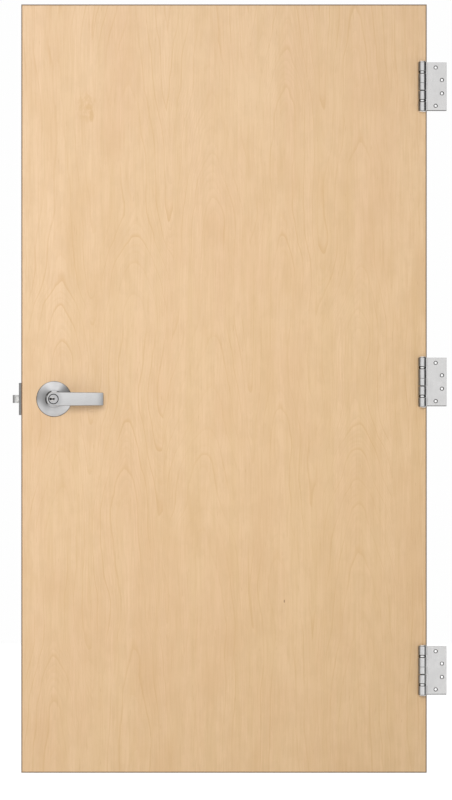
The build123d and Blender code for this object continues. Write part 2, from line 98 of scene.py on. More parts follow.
class Shading:
    """A material or world being made: each call adds shader nodes and gives back their output."""

    def __init__(self, owner):
        self.owner = owner
        owner.use_nodes = True
        self.tree = owner.node_tree
        self.tree.nodes.clear()

    def add(self, kind, inputs, output=0, **settings):
        """Adds a node with its settings, and links or sets its inputs by name or number."""
        node = self.tree.nodes.new(kind)
        for key, value in settings.items():
            setattr(node, key, value)
        for key, value in inputs.items():
            if isinstance(value, bpy.types.NodeSocket):
                self.tree.links.new(value, node.inputs[key])
            else:
                node.inputs[key].default_value = value
        return node.outputs[output] if node.outputs else None

    def maths(self, operation, *values):
        return self.add("ShaderNodeMath", dict(enumerate(values)), operation=operation)

    def plus(self, *values):
        return reduce(partial(self.maths, "ADD"), values)

    def minus(self, first, second):
        return self.maths("SUBTRACT", first, second)

    def times(self, *values):
        return reduce(partial(self.maths, "MULTIPLY"), values)

    def over(self, first, second):
        return self.maths("DIVIDE", first, second)

    def least(self, *values):
        return reduce(partial(self.maths, "MINIMUM"), values)

    def most(self, *values):
        return reduce(partial(self.maths, "MAXIMUM"), values)

    def unsigned(self, value):
        return self.maths("ABSOLUTE", value)

    def length(self, first, second):
        """The root of one square plus another."""
        return self.maths("SQRT", self.plus(self.times(first, first), self.times(second, second)))

    def spread(self, value, low, high, to_low=0.0, to_high=1.0):
        """Takes low to high onto to_low to to_high, smoothly and clamped."""
        span = {"From Min": low, "From Max": high, "To Min": to_low, "To Max": to_high}
        inputs = {"Value": value, **span}
        return self.add("ShaderNodeMapRange", inputs, interpolation_type="SMOOTHSTEP")

    def rise(self, value, start, end, top=1.0):
        """0 up to start, growing to top at end and beyond."""
        return self.spread(value, start, end, 0.0, top)

    def fall(self, value, start, end, top=1.0):
        """The value top up to start, falling to 0 at end and beyond."""
        return self.spread(value, start, end, top, 0.0)

    def band(self, value, start, end, soft):
        """1 where a value lies between start and end, with soft borders."""
        after = self.rise(value, start - soft, start + soft)
        before = self.fall(value, end - soft, end + soft)
        return self.times(after, before)

    def own_place(self):
        """The piece's own coordinates in metres."""
        return self.add("ShaderNodeTexCoord", {}, output="Object")

    def split(self, vector):
        node = self.tree.nodes.new("ShaderNodeSeparateXYZ")
        self.tree.links.new(vector, node.inputs[0])
        return node.outputs

    def join(self, x=0.0, y=0.0, z=0.0):
        return self.add("ShaderNodeCombineXYZ", {X: x, Y: y, Z: z})

    def axes(self):
        """The piece's own x, y and z in metres."""
        return self.split(self.own_place())

    def noise(self, vector, detail=3.0, roughness=0.5, scale=1.0):
        inputs = {"Vector": vector, "Scale": scale, "Detail": detail, "Roughness": roughness}
        return self.add("ShaderNodeTexNoise", inputs)

    def grain(self, fineness, shift=(0.0, 0.0, 0.0), detail=3.0, roughness=0.5):
        """Noise with a given number of features to a metre along each of the piece's axes."""
        inputs = {"Vector": self.own_place(), "Location": shift, "Scale": fineness}
        return self.noise(self.add("ShaderNodeMapping", inputs), detail, roughness)

    def distance(self, point, one, other):
        """Distance from a line through a point, measured on the two axes that cross it."""
        axes = self.axes()
        return self.length(self.minus(axes[one], point[one]), self.minus(axes[other], point[other]))

    def oval(self, place, half_width, half_height):
        """1 at the heart of an upright oval, 0 from its rim on; place is its middle's x and z."""
        x, y, z = self.axes()
        across = self.over(self.minus(x, place[0]), half_width)
        up = self.over(self.minus(z, place[1]), half_height)
        away = self.plus(self.times(across, across), self.times(up, up))
        return self.fall(away, OVAL_HEART, 1.0)

    def turned(self, vector, kind, from_space, to_space):
        """A direction or a normal taken from one space to another."""
        spaces = {"convert_from": from_space, "convert_to": to_space}
        return self.add("ShaderNodeVectorTransform", {"Vector": vector}, vector_type=kind, **spaces)

    def dot(self, vector, way):
        """How far a vector runs a given way."""
        inputs = {0: vector, 1: way}
        return self.add("ShaderNodeVectorMath", inputs, output="Value", operation="DOT_PRODUCT")

    def facing(self, way):
        """How far a surface faces a given way on its own piece: 1 straight at it, 0 across it."""
        normal = self.add("ShaderNodeNewGeometry", {}, output="Normal")
        return self.dot(self.turned(normal, "NORMAL", "WORLD", "OBJECT"), way)

    def blend(self, share, first, second, kind="MIX"):
        inputs = {"Factor": share, FIRST_COLOUR: first, SECOND_COLOUR: second}
        settings = {"data_type": "RGBA", "blend_type": kind}
        return self.add("ShaderNodeMix", inputs, output=MIXED_COLOUR, **settings)

    def relief(self, height, strength, distance):
        inputs = {"Height": height, "Strength": strength, "Distance": distance}
        return self.add("ShaderNodeBump", inputs)

    def surface(self, **inputs):
        """Closes the material with one Principled shader."""
        names = {key.replace("_", " "): value for key, value in inputs.items()}
        shader = self.add("ShaderNodeBsdfPrincipled", names)
        self.add("ShaderNodeOutputMaterial", {"Surface": shader})
        return self.owner


def new_finish(name):
    return Shading(bpy.data.materials.new(name))


def colour(red, green, blue):
    """An 0 to 255 screen colour as a linear one with full alpha, by the sRGB curve."""
    channels = [value / 255 for value in (red, green, blue)]
    linear = [c / 12.92 if c < 0.04045 else ((c + 0.055) / 1.055) ** 2.4 for c in channels]
    return (*linear, 1.0)


def grey(value):
    return (value, value, value, 1.0)


# The veneer's figure: leaves sliced flat from a log, with nested arches over each leaf's middle.
# ARCH_TOPS says how far below the door's top the arches of each leaf peak, leaf by leaf.
LEAF_WIDTH = 0.1987
LEAF_SEAM = 0.02
FIRST_LEAF_MIDDLE = 0.092
LEAVES_LEFT_OF_DOOR = 4.5
SLICE_DEPTH = 0.032
RING_SPACING = 0.0215
ARCH_TOPS = (
    (0.72, 0.79, 0.88, 1.16, 1.27, 1.71, 1.83),
    (0.22, 0.60, 0.67, 0.76, 1.10, 1.21, 1.67),
    (0.23, 0.385, 0.51, 0.86, 1.00, 1.11, 1.19, 1.32, 1.39),
    (0.113, 0.23, 0.62, 1.05, 1.42),
    (0.37, 0.70, 0.80, 1.11, 1.17, 1.25, 1.32, 1.46, 1.61, 1.78),
)

# The curve of a leaf's ring count: how far down the door it reaches, how many rings it may count,
# the least gap between two arches that is drawn flat in its middle, and how flat that is.
CURVE_REACH = 2.1
CURVE_RINGS = 12
FLAT_GAP = 0.2
FLAT_INSET = 0.06
FLAT_RISE = 0.05
RINGS_PAST_LAST = 0.7
LEAST_FIRST_RING = 0.05

# How far the figure wanders, in metres, and how far its rings swell and ripple, in rings.
WANDER = 0.11
SWELL = 0.9
RIPPLE = 0.12
RING_STOP = 0.02

# How many features of each kind there are to a metre across, through and up the face. Through the
# face all lie in one slice, so the seeds and shifts choose the slice.
SWAY_GRAIN = (3.0, 1.0, 1.6)
SWELL_GRAIN = (9.0, 1.0, 5.0)
RIPPLE_GRAIN = (60.0, 1.0, 22.0)
SHOWING_GRAIN = (7.0, 1.0, 4.0)
SIDE_GRAIN = (6.0, 1.0, 1.5)
STREAK_GRAIN = (42.0, 1.0, 1.4)
PATCH_GRAIN = (11.0, 1.0, 4.2)
MOTTLE_GRAIN = (34.0, 1.0, 21.0)
ROSY_GRAIN = (8.0, 1.0, 2.6)
THREAD_GRAIN = (260.0, 1.0, 11.0)
FIBRE_GRAIN = (900.0, 1.0, 9.0)
FLECK_GRAIN = (420.0, 1.0, 32.0)
KNOT_GRAIN = (180.0, 1.0, 90.0)
FRONT_SEED = 4.37
BACK_SEED = 7.3

# How many finer lines there are to each ring: between the arches, and beside them.
BETWEEN_LINES = 3.0
HATCH_LINES = 5.0

PALE_WOOD = colour(212, 183, 149)
WARM_WOOD = colour(206, 177, 140)
PATCH_TINT = colour(198, 166, 126)
MOTTLE_TINT = colour(190, 160, 125)
ROSY_TINT = colour(202, 166, 132)
HATCH_TINT = colour(195, 164, 127)
BETWEEN_TINT = colour(192, 154, 108)
ARCH_TINT = colour(186, 144, 95)
THREAD_TINT = colour(190, 154, 112)
FIBRE_TINT = colour(196, 160, 122)
FLECK_TINT = colour(176, 136, 96)
SWIRL_TINT = colour(190, 154, 110)
KNOT_TINT = colour(186, 148, 98)
PIN_KNOT_TINT = colour(120, 84, 56)
# Painted shade: the brown of the dark line beside the barrels and along the face's edges.
PAINTED_SHADE_BROWN = colour(98, 74, 54)
# Painted light: the warm tint multiplied in towards the lower right.
WARM_LIGHT_TINT = (1.0, 0.975, 0.88, 1.0)

# The knots' middles on the face, from its upper left corner, and their half widths and heights.
KNOT_SWIRL = (0.170, 0.268)
KNOT_BROW = (0.178, 0.268)
KNOT_HEART = (0.184, 0.291)
PIN_KNOT = (0.688, 1.561)
SWIRL_SIZE = (0.032, 0.050)
BROW_SIZE = (0.011, 0.010)
HEART_SIZE = (0.007, 0.020)
PIN_KNOT_SIZE = (0.002, 0.005)

# Painted shade: the dark line beside each hinge's barrel on the face, from the edge leaf's end to
# either side of it.
BARREL_LINE_LEFT = 0.0016
BARREL_LINE_RIGHT = 0.002
BARREL_LINE_SHARE = 0.35

# From the face's edges: where the painted shade along them begins to fade, and where it ends.
EDGE_SHADE = (0.0022, 0.0040)

# Painted light: the face is tinted warmer from the door's upper left corner to its lower right one,
# where the light is less white.
WARMTH_ACROSS = 0.7
WARMTH_DOWN = 0.5


def ring_count(finish, depth, tops):
    """How many rings lie above a depth on a leaf's middle line: one more at each arch's top."""
    node = finish.tree.nodes.new("ShaderNodeFloatCurve")
    finish.tree.links.new(finish.over(depth, CURVE_REACH), node.inputs["Value"])
    points = node.mapping.curves[0].points
    points[0].location = (0.0, max(LEAST_FIRST_RING, 1 - tops[0] / FLAT_GAP) / CURVE_RINGS)
    points[1].location = (1.0, (len(tops) + RINGS_PAST_LAST) / CURVE_RINGS)
    last = tops[0]
    for number, top in enumerate(tops, 1):
        if top - last > FLAT_GAP:
            half_way = number - 0.5
            points.new((last + FLAT_INSET) / CURVE_REACH, (half_way - FLAT_RISE) / CURVE_RINGS)
            points.new((top - FLAT_INSET) / CURVE_REACH, (half_way + FLAT_RISE) / CURVE_RINGS)
        points.new(top / CURVE_REACH, number / CURVE_RINGS)
        last = top
    node.mapping.update()
    return finish.times(node.outputs[0], CURVE_RINGS)


def veneer_figure(finish, seed, arch_tops):
    """The rings cut by the veneer knife, counted from the door's top and from each leaf's middle.

    Along a leaf's middle the count goes up by one at each arch's top. Sideways it goes down as
    the distance from the pith grows, which is the root of the slice's depth squared plus the
    distance to the leaf's middle squared. So a ring's line is a nested arch.
    """
    x, y, z = finish.axes()
    depth = finish.minus(door_top, z)
    sway = finish.grain(SWAY_GRAIN, (seed, 0.4, 0))
    wander = finish.times(finish.minus(sway, 0.5), WANDER)
    across = finish.plus(finish.minus(x, latch_edge + FIRST_LEAF_MIDDLE), wander)
    half_leaf = LEAF_WIDTH / 2
    count = 0.0
    for number, tops in enumerate(arch_tops):
        off_middle = finish.unsigned(finish.minus(across, number * LEAF_WIDTH))
        share = finish.fall(off_middle, half_leaf - LEAF_SEAM, half_leaf + LEAF_SEAM)
        count = finish.plus(count, finish.times(share, ring_count(finish, depth, tops)))
    from_seam = finish.plus(across, LEAF_WIDTH * LEAVES_LEFT_OF_DOOR)
    off_nearest = finish.minus(half_leaf, finish.maths("PINGPONG", from_seam, half_leaf))
    from_pith = finish.length(off_nearest, SLICE_DEPTH)
    count = finish.minus(count, finish.over(from_pith, RING_SPACING))
    swell = finish.grain(SWELL_GRAIN, (0, seed, 3.1))
    ripple = finish.grain(RIPPLE_GRAIN, (seed, 0.6, 0), detail=2.0)
    return finish.plus(count, finish.times(swell, SWELL), finish.times(ripple, RIPPLE))


def growth_line(finish, count, start, end):
    """1 on the dark late wood of each ring: a slow rise from start to end, then a sharp stop."""
    ring = finish.maths("FRACT", count)
    return finish.times(finish.rise(ring, start, end), finish.fall(ring, end, end + RING_STOP))


def on_face(across, down):
    """A place on the door's face, given from its upper left corner in metres."""
    return latch_edge + across, door_top - down


def add_knots(finish, base):
    """A swirl of grain round a knot's brow and heart, and far below it a small dark pin knot."""
    broken = finish.grain(KNOT_GRAIN, (0, 0.5, 0), detail=2.0)
    swirl = finish.oval(on_face(*KNOT_SWIRL), *SWIRL_SIZE)
    swirl = finish.times(swirl, finish.spread(broken, 0.42, 0.62, 0.08, 0.45))
    base = finish.blend(swirl, base, SWIRL_TINT)
    for place, size in ((KNOT_BROW, BROW_SIZE), (KNOT_HEART, HEART_SIZE)):
        knot = finish.times(finish.oval(on_face(*place), *size), 0.42)
        base = finish.blend(knot, base, KNOT_TINT)
    pin_knot = finish.times(finish.oval(on_face(*PIN_KNOT), *PIN_KNOT_SIZE), 0.8)
    return finish.blend(pin_knot, base, PIN_KNOT_TINT)


def barrel_shade_line(finish):
    """Painted shade: a thin dark line beside each hinge's barrel on the door's face."""
    x, y, z = finish.axes()
    lines = 0.0
    for place in PLACES:
        low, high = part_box(f"{place}_hinge_edge_leaf")
        beside = finish.band(x, low.x - BARREL_LINE_LEFT, low.x + BARREL_LINE_RIGHT, 0.0006)
        lines = finish.most(lines, finish.times(beside, finish.band(z, low.z, high.z, 0.0008)))
    return finish.times(lines, BARREL_LINE_SHARE)


def painted_edge_shade(finish):
    """Painted shade along the face's four eased edges, where they turn away from the light."""
    x, y, z = finish.axes()
    sides = finish.least(finish.minus(x, latch_edge), finish.minus(hinge_edge, x))
    ends = finish.least(finish.minus(z, door_bottom), finish.minus(door_top, z))
    return finish.fall(finish.least(sides, ends), *EDGE_SHADE, 0.75)


def painted_warmth(finish):
    """How much the painted warm light tints the face: 0 at the door's upper left corner, 1 at its
    lower right one.
    """
    x, y, z = finish.axes()
    slope = finish.minus(finish.times(x, WARMTH_ACROSS), finish.times(z, WARMTH_DOWN))
    start = WARMTH_ACROSS * latch_edge - WARMTH_DOWN * door_top
    end = WARMTH_ACROSS * hinge_edge - WARMTH_DOWN * door_bottom
    return finish.rise(slope, start, end)


def face_veneer(name, seed, arch_tops, is_front):
    """Clear-lacquered pale veneer.

    From below, its layers are slow streaks, patches and a mottle, then the fine lines beside and
    between the arches, the arches, threads, fibres and flecks. The front has the knots too, and
    painted shade beside the hinges' barrels. Both faces are tinted warmer towards the lower right
    as painted light, and have painted shade along their edges.
    """
    finish = new_finish(name)
    count = veneer_figure(finish, seed, arch_tops)
    shown = finish.spread(finish.grain(SHOWING_GRAIN, (seed, 5.4, 0)), 0.38, 0.64, 0.06, 0.32)
    arches = finish.times(growth_line(finish, count, 0.80, 0.97), shown)
    between = growth_line(finish, finish.times(count, BETWEEN_LINES), 0.55, 0.95)
    between = finish.times(between, finish.times(shown, 0.5))
    hatch = growth_line(finish, finish.times(count, HATCH_LINES), 0.3, 0.95)
    side_grain = finish.grain(SIDE_GRAIN, (seed, 9.6, 0), detail=2.0)
    hatch = finish.times(hatch, finish.spread(side_grain, 0.42, 0.7, 0.03, 0.34))

    streaks = finish.grain(STREAK_GRAIN, (seed, 0.3, 0), detail=4.0, roughness=0.6)
    patches = finish.grain(PATCH_GRAIN, (0, seed, 0))
    mottle = finish.grain(MOTTLE_GRAIN, (seed, 0.7, 4.0), roughness=0.6)
    rosy = finish.grain(ROSY_GRAIN, (seed, 3.5, 8.0), roughness=0.6)
    threads = finish.grain(THREAD_GRAIN, (seed, 0.8, 0), detail=2.0, roughness=0.6)
    fibres = finish.grain(FIBRE_GRAIN, (seed, 0.5, 0), detail=2.0)
    flecks = finish.grain(FLECK_GRAIN, (seed, 2.4, 0), detail=1.0)

    base = finish.blend(finish.rise(streaks, 0.3, 0.7), PALE_WOOD, WARM_WOOD)
    base = finish.blend(finish.rise(patches, 0.5, 0.75, 0.5), base, PATCH_TINT)
    base = finish.blend(finish.rise(mottle, 0.4, 0.65, 0.22), base, MOTTLE_TINT)
    base = finish.blend(finish.rise(rosy, 0.42, 0.70, 0.30), base, ROSY_TINT)
    base = finish.blend(hatch, base, HATCH_TINT)
    base = finish.blend(between, base, BETWEEN_TINT)
    base = finish.blend(arches, base, ARCH_TINT)
    base = finish.blend(finish.rise(threads, 0.42, 0.68, 0.24), base, THREAD_TINT)
    base = finish.blend(finish.rise(fibres, 0.35, 0.75, 0.16), base, FIBRE_TINT)
    base = finish.blend(finish.rise(flecks, 0.70, 0.80, 0.3), base, FLECK_TINT)
    if is_front:
        base = add_knots(finish, base)
        # Painted shade beside each hinge's barrel.
        base = finish.blend(barrel_shade_line(finish), base, PAINTED_SHADE_BROWN)
    # Painted light: warmer towards the lower right.
    base = finish.blend(painted_warmth(finish), base, WARM_LIGHT_TINT, "MULTIPLY")
    # Painted shade along the face's edges.
    base = finish.blend(painted_edge_shade(finish), base, PAINTED_SHADE_BROWN)
    lacquer = {"Coat_Weight": 0.25, "Coat_Roughness": 0.3}
    dull = finish.spread(fibres, 0.3, 0.8, 0.36, 0.46)
    pores = finish.relief(fibres, 0.12, 0.0002)
    return finish.surface(Base_Color=base, Roughness=dull, Normal=pores, **lacquer)


# Where the growth rings of the solid wood have their heart: in from the door's edge, and off the
# middle of its thickness. Then how fine the grain is across the rings, round them and along them.
HEART_DEPTH = 0.034
HEART_SHIFT = 0.013
RING_GRAIN = 520.0
ROUND_GRAIN = 30.0
ALONG_GRAIN = 3.0
SLOW_GRAIN_SHARE = 0.15


def edge_wood(name, light, dark, along):
    """Solid wood with fibres along one axis, X or Z, and growth rings curved round a heart.

    The heart lies a little way in from the door's edges, so a piece's end shows its rings as arcs,
    and its long sides show them as lines.
    """
    finish = new_finish(name)
    axes = finish.axes()
    inward = X if along == Z else Z
    off_middle = finish.unsigned(finish.minus(axes[inward], door_middle[inward]))
    deep = finish.minus(off_middle, door_size[inward] / 2 - HEART_DEPTH)
    aside = finish.minus(axes[Y], door_middle.y + HEART_SHIFT)
    across_rings = finish.times(finish.length(deep, aside), RING_GRAIN)
    round_rings = finish.times(aside, ROUND_GRAIN)
    rings = finish.join(across_rings, round_rings, finish.times(axes[along], ALONG_GRAIN))
    grain = finish.noise(rings, detail=4.0, roughness=0.6)
    slow = finish.noise(rings, detail=2.0, scale=SLOW_GRAIN_SHARE)
    base = finish.blend(finish.rise(grain, 0.3, 0.72), light, dark)
    base = finish.blend(finish.rise(slow, 0.35, 0.7, 0.4), base, dark)
    dull = finish.spread(grain, 0.3, 0.8, 0.42, 0.6)
    return finish.surface(Base_Color=base, Roughness=dull, Normal=finish.relief(grain, 0.2, 0.0003))


def pressed_board(name, light, dark, chip_size):
    """Board pressed from chips or fibre: a fine speckle of two browns, with no direction."""
    finish = new_finish(name)
    inputs = {"Vector": finish.own_place(), "Scale": 1 / chip_size}
    chips = finish.add("ShaderNodeTexVoronoi", inputs, output="Color")
    chip_tone = finish.add("ShaderNodeSeparateColor", {"Color": chips})
    dust = finish.noise(finish.own_place(), detail=4.0, scale=2 / chip_size)
    base = finish.blend(finish.rise(finish.plus(chip_tone, dust), 0.5, 1.4), light, dark)
    relief = finish.relief(dust, 0.4, 0.0004)
    return finish.surface(Base_Color=base, Roughness=0.78, Normal=relief)


# How many brush lines there are to a metre across them, along them and out from a turned axis, how
# many smears, and how much darker both are than the metal.
LINES_ACROSS = 1500.0
LINES_ALONG = 30.0
LINES_OUT = 1600.0
SMEARS = 38.0
DIM = 0.86
# The near black that the tones paint as shade, and in a few grooves as grease too.
PAINTED_SHADE_DARK = (0.045, 0.043, 0.04, 1.0)


def brushed_metal(name, tint, along, roughness, around=None, tone=None, pull=0.0, metal=1.0):
    """Satin metal: fine brush lines along one axis, or in rings round a turned axis, and smears.

    Where around gives a point, the lines are rings about the Y axis through it. Tone paints shade,
    highlights and dark reflections into the colour, and grease in a few grooves. Pull draws the
    highlights out across the brush lines.
    """
    finish = new_finish(name)
    if around is None:
        fineness = [LINES_ACROSS] * 3
        fineness[along] = LINES_ALONG
        lines = finish.grain(fineness, roughness=0.6)
        brush_way = tuple(float(axis == along) for axis in (X, Y, Z))
    else:
        x, y, z = finish.axes()
        out = finish.times(finish.distance(around, X, Z), LINES_OUT)
        lines = finish.noise(finish.join(out, y), roughness=0.6)
        brush_way = finish.join(x=finish.minus(z, around.z), z=finish.minus(around.x, x))
    smears = finish.grain((SMEARS, SMEARS, SMEARS))
    dim = tuple(value * DIM for value in tint[:3]) + (1.0,)
    base = finish.blend(finish.rise(lines, 0.3, 0.7, 0.5), tint, dim)
    base = finish.blend(finish.rise(smears, 0.4, 0.7, 0.25), base, dim)
    if tone:
        base = tone(finish, base)
    dull = finish.spread(lines, 0.25, 0.75, roughness - 0.05, roughness + 0.07)
    return finish.surface(
        Base_Color=base,
        Metallic=metal,
        Roughness=finish.plus(dull, finish.rise(smears, 0.4, 0.7, 0.06)),
        Normal=finish.relief(lines, 0.06, 0.0001),
        Anisotropic=pull,
        Anisotropic_Rotation=0.25,
        Tangent=finish.turned(brush_way, "VECTOR", "OBJECT", "WORLD"),
    )


# A hinge leaf's zones, by distance from the pin's axis: the joints' ends between the knuckles, the
# knuckle's rolled face, its root in the leaf, and the flat plate. Each pair is a soft border.
JOINT_END = (0.0099, 0.01025)
KNUCKLE_FACE = (0.0106, 0.0112)
KNUCKLE_ROOT = (0.0108, 0.0122)
PLATE_START = (0.0130, 0.0136)
LEAF_THICKNESS = 0.0048
SINK_START = (0.0002, 0.0010)
UNDERSIDE = (0.0014, 0.0022)
RIGHT = (1.0, 0.0, 0.0)
OUTWARD = (0.0, -1.0, 0.0)
DOWN_IN_SINK = (0.35, 0.0, -0.94)
KNUCKLE_GREY = grey(0.63)
PAINTED_GLINT_GREY = grey(0.9)
LIT_WALL_GREY = grey(0.8)


def leaf_tone(place, open_holes, finish, base):
    """Polished knuckles with a painted highlight and painted shade at their sides and roots; painted
    shade and grease in their joints; painted light and shade in open countersinks; painted shade
    under the leaf.
    """
    away = finish.distance(pin_axis, X, Y)
    rolled = finish.fall(away, *KNUCKLE_FACE)
    # Painted shade: the knuckle's left and right sides darken, as they turn away from the light.
    sideways = finish.facing(RIGHT)
    right_side = finish.rise(sideways, 0.46, 0.88, 0.75)
    left_side = finish.fall(sideways, -0.88, -0.42, 0.75)
    # Painted highlight: a bright stripe just right of the knuckle's middle.
    painted_glint = finish.times(finish.band(sideways, 0.16, 0.42, 0.06), rolled, 0.7)
    base = finish.blend(rolled, base, KNUCKLE_GREY)
    base = finish.blend(painted_glint, base, PAINTED_GLINT_GREY)
    base = finish.blend(finish.times(finish.most(right_side, left_side), rolled), base, PAINTED_SHADE_DARK)
    # Painted shade and grease in the joints between the knuckles.
    painted_shade = finish.fall(away, *JOINT_END, 0.95)
    if open_holes:
        low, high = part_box(f"{place}_hinge_frame_leaf")
        x, y, z = finish.axes()
        plate = finish.rise(away, *PLATE_START)
        sunk = finish.rise(finish.minus(y, high.y - LEAF_THICKNESS), *SINK_START)
        sunk = finish.times(plate, sunk)
        # Painted light and shade in each open countersink: the lower wall lit, the upper wall
        # shaded.
        downward = finish.facing(DOWN_IN_SINK)
        lower_wall = finish.times(sunk, finish.fall(downward, -0.6, -0.25))
        base = finish.blend(lower_wall, base, LIT_WALL_GREY)
        upper_wall = finish.times(sunk, finish.rise(downward, -0.45, 0.1, 0.9))
        # Painted shade along the plate's lower edge.
        underside = finish.times(plate, finish.fall(finish.minus(z, low.z), *UNDERSIDE, 0.9))
        painted_shade = finish.most(painted_shade, upper_wall, underside)
    # Painted shade at the knuckle's root in the plate.
    painted_shade = finish.most(painted_shade, finish.band(away, *KNUCKLE_ROOT, 0.0004))
    return finish.blend(painted_shade, base, PAINTED_SHADE_DARK)


# A bearing ring's height, and how far above and below its middle its grooves begin.
BEARING_HEIGHT = 0.0068
RING_GROOVE = (0.0017, 0.0021)
PIN_NECK = (0.0026, 0.0020)


def off_middle_height(finish, node):
    """How far a place lies above or below a piece's middle, and half the piece's height."""
    low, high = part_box(node)
    from_middle = finish.unsigned(finish.minus(finish.axes()[Z], (low.z + high.z) / 2))
    return from_middle, (high.z - low.z) / 2


def ring_tone(place, finish, base):
    """Painted shade and grease in the grooves above and below each bearing ring, and painted shade
    at the rings' sides.
    """
    from_middle, reach = off_middle_height(finish, f"{place}_hinge_bearings")
    off_ring = finish.unsigned(finish.minus(from_middle, reach - BEARING_HEIGHT / 2))
    # Painted shade: the rings' left and right sides darken, as the knuckles' do.
    sideways = finish.unsigned(finish.facing(RIGHT))
    base = finish.blend(finish.rise(sideways, 0.32, 0.70, 0.95), base, PAINTED_SHADE_DARK)
    # Painted shade and grease in the grooves.
    return finish.blend(finish.rise(off_ring, *RING_GROOVE), base, PAINTED_SHADE_DARK)


def pin_tone(place, finish, base):
    """Painted shade: between its two heads, where it lies inside the barrel, the pin is dark."""
    from_middle, reach = off_middle_height(finish, f"{place}_hinge_pin")
    shaft = finish.fall(from_middle, reach - PIN_NECK[0], reach - PIN_NECK[1])
    return finish.blend(shaft, base, PAINTED_SHADE_DARK)


BOLT_NOSE = (0.0042, 0.0058)


def bolt_tone(finish, base):
    """Painted shade on the bolt's nose, which lies in the plunger's shade; behind that it is
    polished.
    """
    behind_tip = finish.minus(finish.axes()[X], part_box("latch_bolt")[0].x)
    return finish.blend(finish.fall(behind_tip, *BOLT_NOSE, 0.6), base, PAINTED_SHADE_DARK)


def side_of_lock(finish, way):
    """How far a place lies a given way from the lock's axis: 1 straight that way, -1 opposite."""
    x, y, z = finish.axes()
    across = finish.times(finish.minus(x, lock_axis.x), way[0])
    up = finish.times(finish.minus(z, lock_axis.z), way[1])
    return finish.over(finish.plus(across, up), finish.distance(lock_axis, X, Z))


# The rose's zones, by distance from the lock's axis, and its sides with painted shade and painted
# dark reflections, as ways across and up.
ROSE_RIM = (0.0446, 0.0458)
ROSE_DISH = (0.0230, 0.0440)
COLLAR = (0.0192, 0.0232)
COLLAR_SEAM = (0.0222, 0.0234)
LEFTWARD = (-1.0, 0.0)
DOWNWARD = (0.0, -1.0)
LOWER_LEFT = (-0.7, -0.7)
RIGHT_FAN = (0.94, 0.34)
HIGH_LEFT_ARC = (-0.66, 0.75)
HIGH_RIGHT_ARC = (0.72, 0.70)
LEFT_ARC = (-0.97, -0.25)
FAN_REFLECTION_GREY = grey(0.26)


def rose_tone(finish, base):
    """Painted shade at the rim, in three arcs round the collar and at its seam, and painted dark
    reflections in the turned dish's fans.
    """
    away = finish.distance(lock_axis, X, Z)
    # Painted shade round the rim, strongest at the lower left.
    low_left = finish.spread(side_of_lock(finish, LOWER_LEFT), -0.6, 0.6, 0.55, 0.9)
    rim = finish.times(finish.rise(away, *ROSE_RIM), low_left)
    # Painted shade in three arcs and a seam where the collar meets the dish.
    arcs = finish.most(
        finish.rise(side_of_lock(finish, HIGH_LEFT_ARC), 0.86, 0.97),
        finish.rise(side_of_lock(finish, HIGH_RIGHT_ARC), 0.86, 0.97),
        finish.rise(side_of_lock(finish, LEFT_ARC), 0.86, 0.98),
    )
    collar = finish.times(finish.band(away, *COLLAR, 0.0006), arcs, 0.9)
    seam = finish.times(finish.band(away, *COLLAR_SEAM, 0.0004), 0.3)
    # Painted dark reflections: the turned dish's fans to the left, the upper right and below.
    left_fan = finish.rise(side_of_lock(finish, LEFTWARD), 0.2, 0.95)
    left_fan = finish.times(left_fan, finish.spread(away, *ROSE_DISH, 0.85, 0.42))
    right_fan = finish.rise(side_of_lock(finish, RIGHT_FAN), 0.6, 0.97, 0.88)
    lower_fan = finish.rise(side_of_lock(finish, DOWNWARD), 0.3, 0.95, 0.16)
    for fan in (left_fan, right_fan, lower_fan):
        base = finish.blend(fan, base, FAN_REFLECTION_GREY)
    return finish.blend(finish.most(rim, collar, seam), base, PAINTED_SHADE_DARK)


# The lever's zones, by distance from the lock's axis: the cylinder's seat, the hub and the blade.
SEAT_RING = (0.0116, 0.0138)
HUB_DARKER = (0.0150, 0.0280)
BLADE_START = (0.020, 0.024)
LEVER_HALF_HEIGHT = 0.017
HUB_GREY = (0.35, 0.35, 0.36, 1.0)
BLADE_EDGE_GREY = grey(0.12)
LOWER_BLADE_GREY = grey(0.3)


def lever_tone(finish, base):
    """Painted shade: a dark line round the cylinder's seat, the rounded edges and the blade's lower
    half; and a darker hub.
    """
    away = finish.distance(lock_axis, X, Z)
    # The hub is darker towards the lock's axis.
    base = finish.blend(finish.fall(away, *HUB_DARKER, 0.35), base, HUB_GREY)
    # Painted shade on the blade's rounded edges.
    rounded = finish.fall(finish.unsigned(finish.facing(OUTWARD)), 0.70, 0.97, 0.85)
    rounded = finish.times(rounded, finish.rise(away, *BLADE_START))
    base = finish.blend(rounded, base, BLADE_EDGE_GREY)
    # Painted shade: the blade darkens towards its lower edge.
    above_axis = finish.minus(finish.axes()[Z], lock_axis.z)
    lower = finish.fall(above_axis, -LEVER_HALF_HEIGHT, LEVER_HALF_HEIGHT, 0.22)
    base = finish.blend(lower, base, LOWER_BLADE_GREY)
    # Painted shade: a dark line round the cylinder's seat.
    return finish.blend(finish.times(finish.band(away, *SEAT_RING, 0.0003), 0.9), base, PAINTED_SHADE_DARK)


CYLINDER_RIM = (0.0110, 0.0120)


def cylinder_tone(finish, base):
    """Painted shade on the cylinder's eased rim."""
    rim = finish.rise(finish.distance(lock_axis, X, Z), *CYLINDER_RIM, 0.75)
    return finish.blend(rim, base, PAINTED_SHADE_DARK)


# The keyway's two ends with painted shade, to either side of the plug's middle, and their half
# sizes.
KEYWAY_ENDS = 0.0040
KEYWAY_HEAD = (0.0048, 0.0042)
KEYWAY_FOOT = (0.0040, 0.0034)
KEYWAY_START = (0.0003, 0.0012)
KEYWAY_BLACK = grey(0.01)


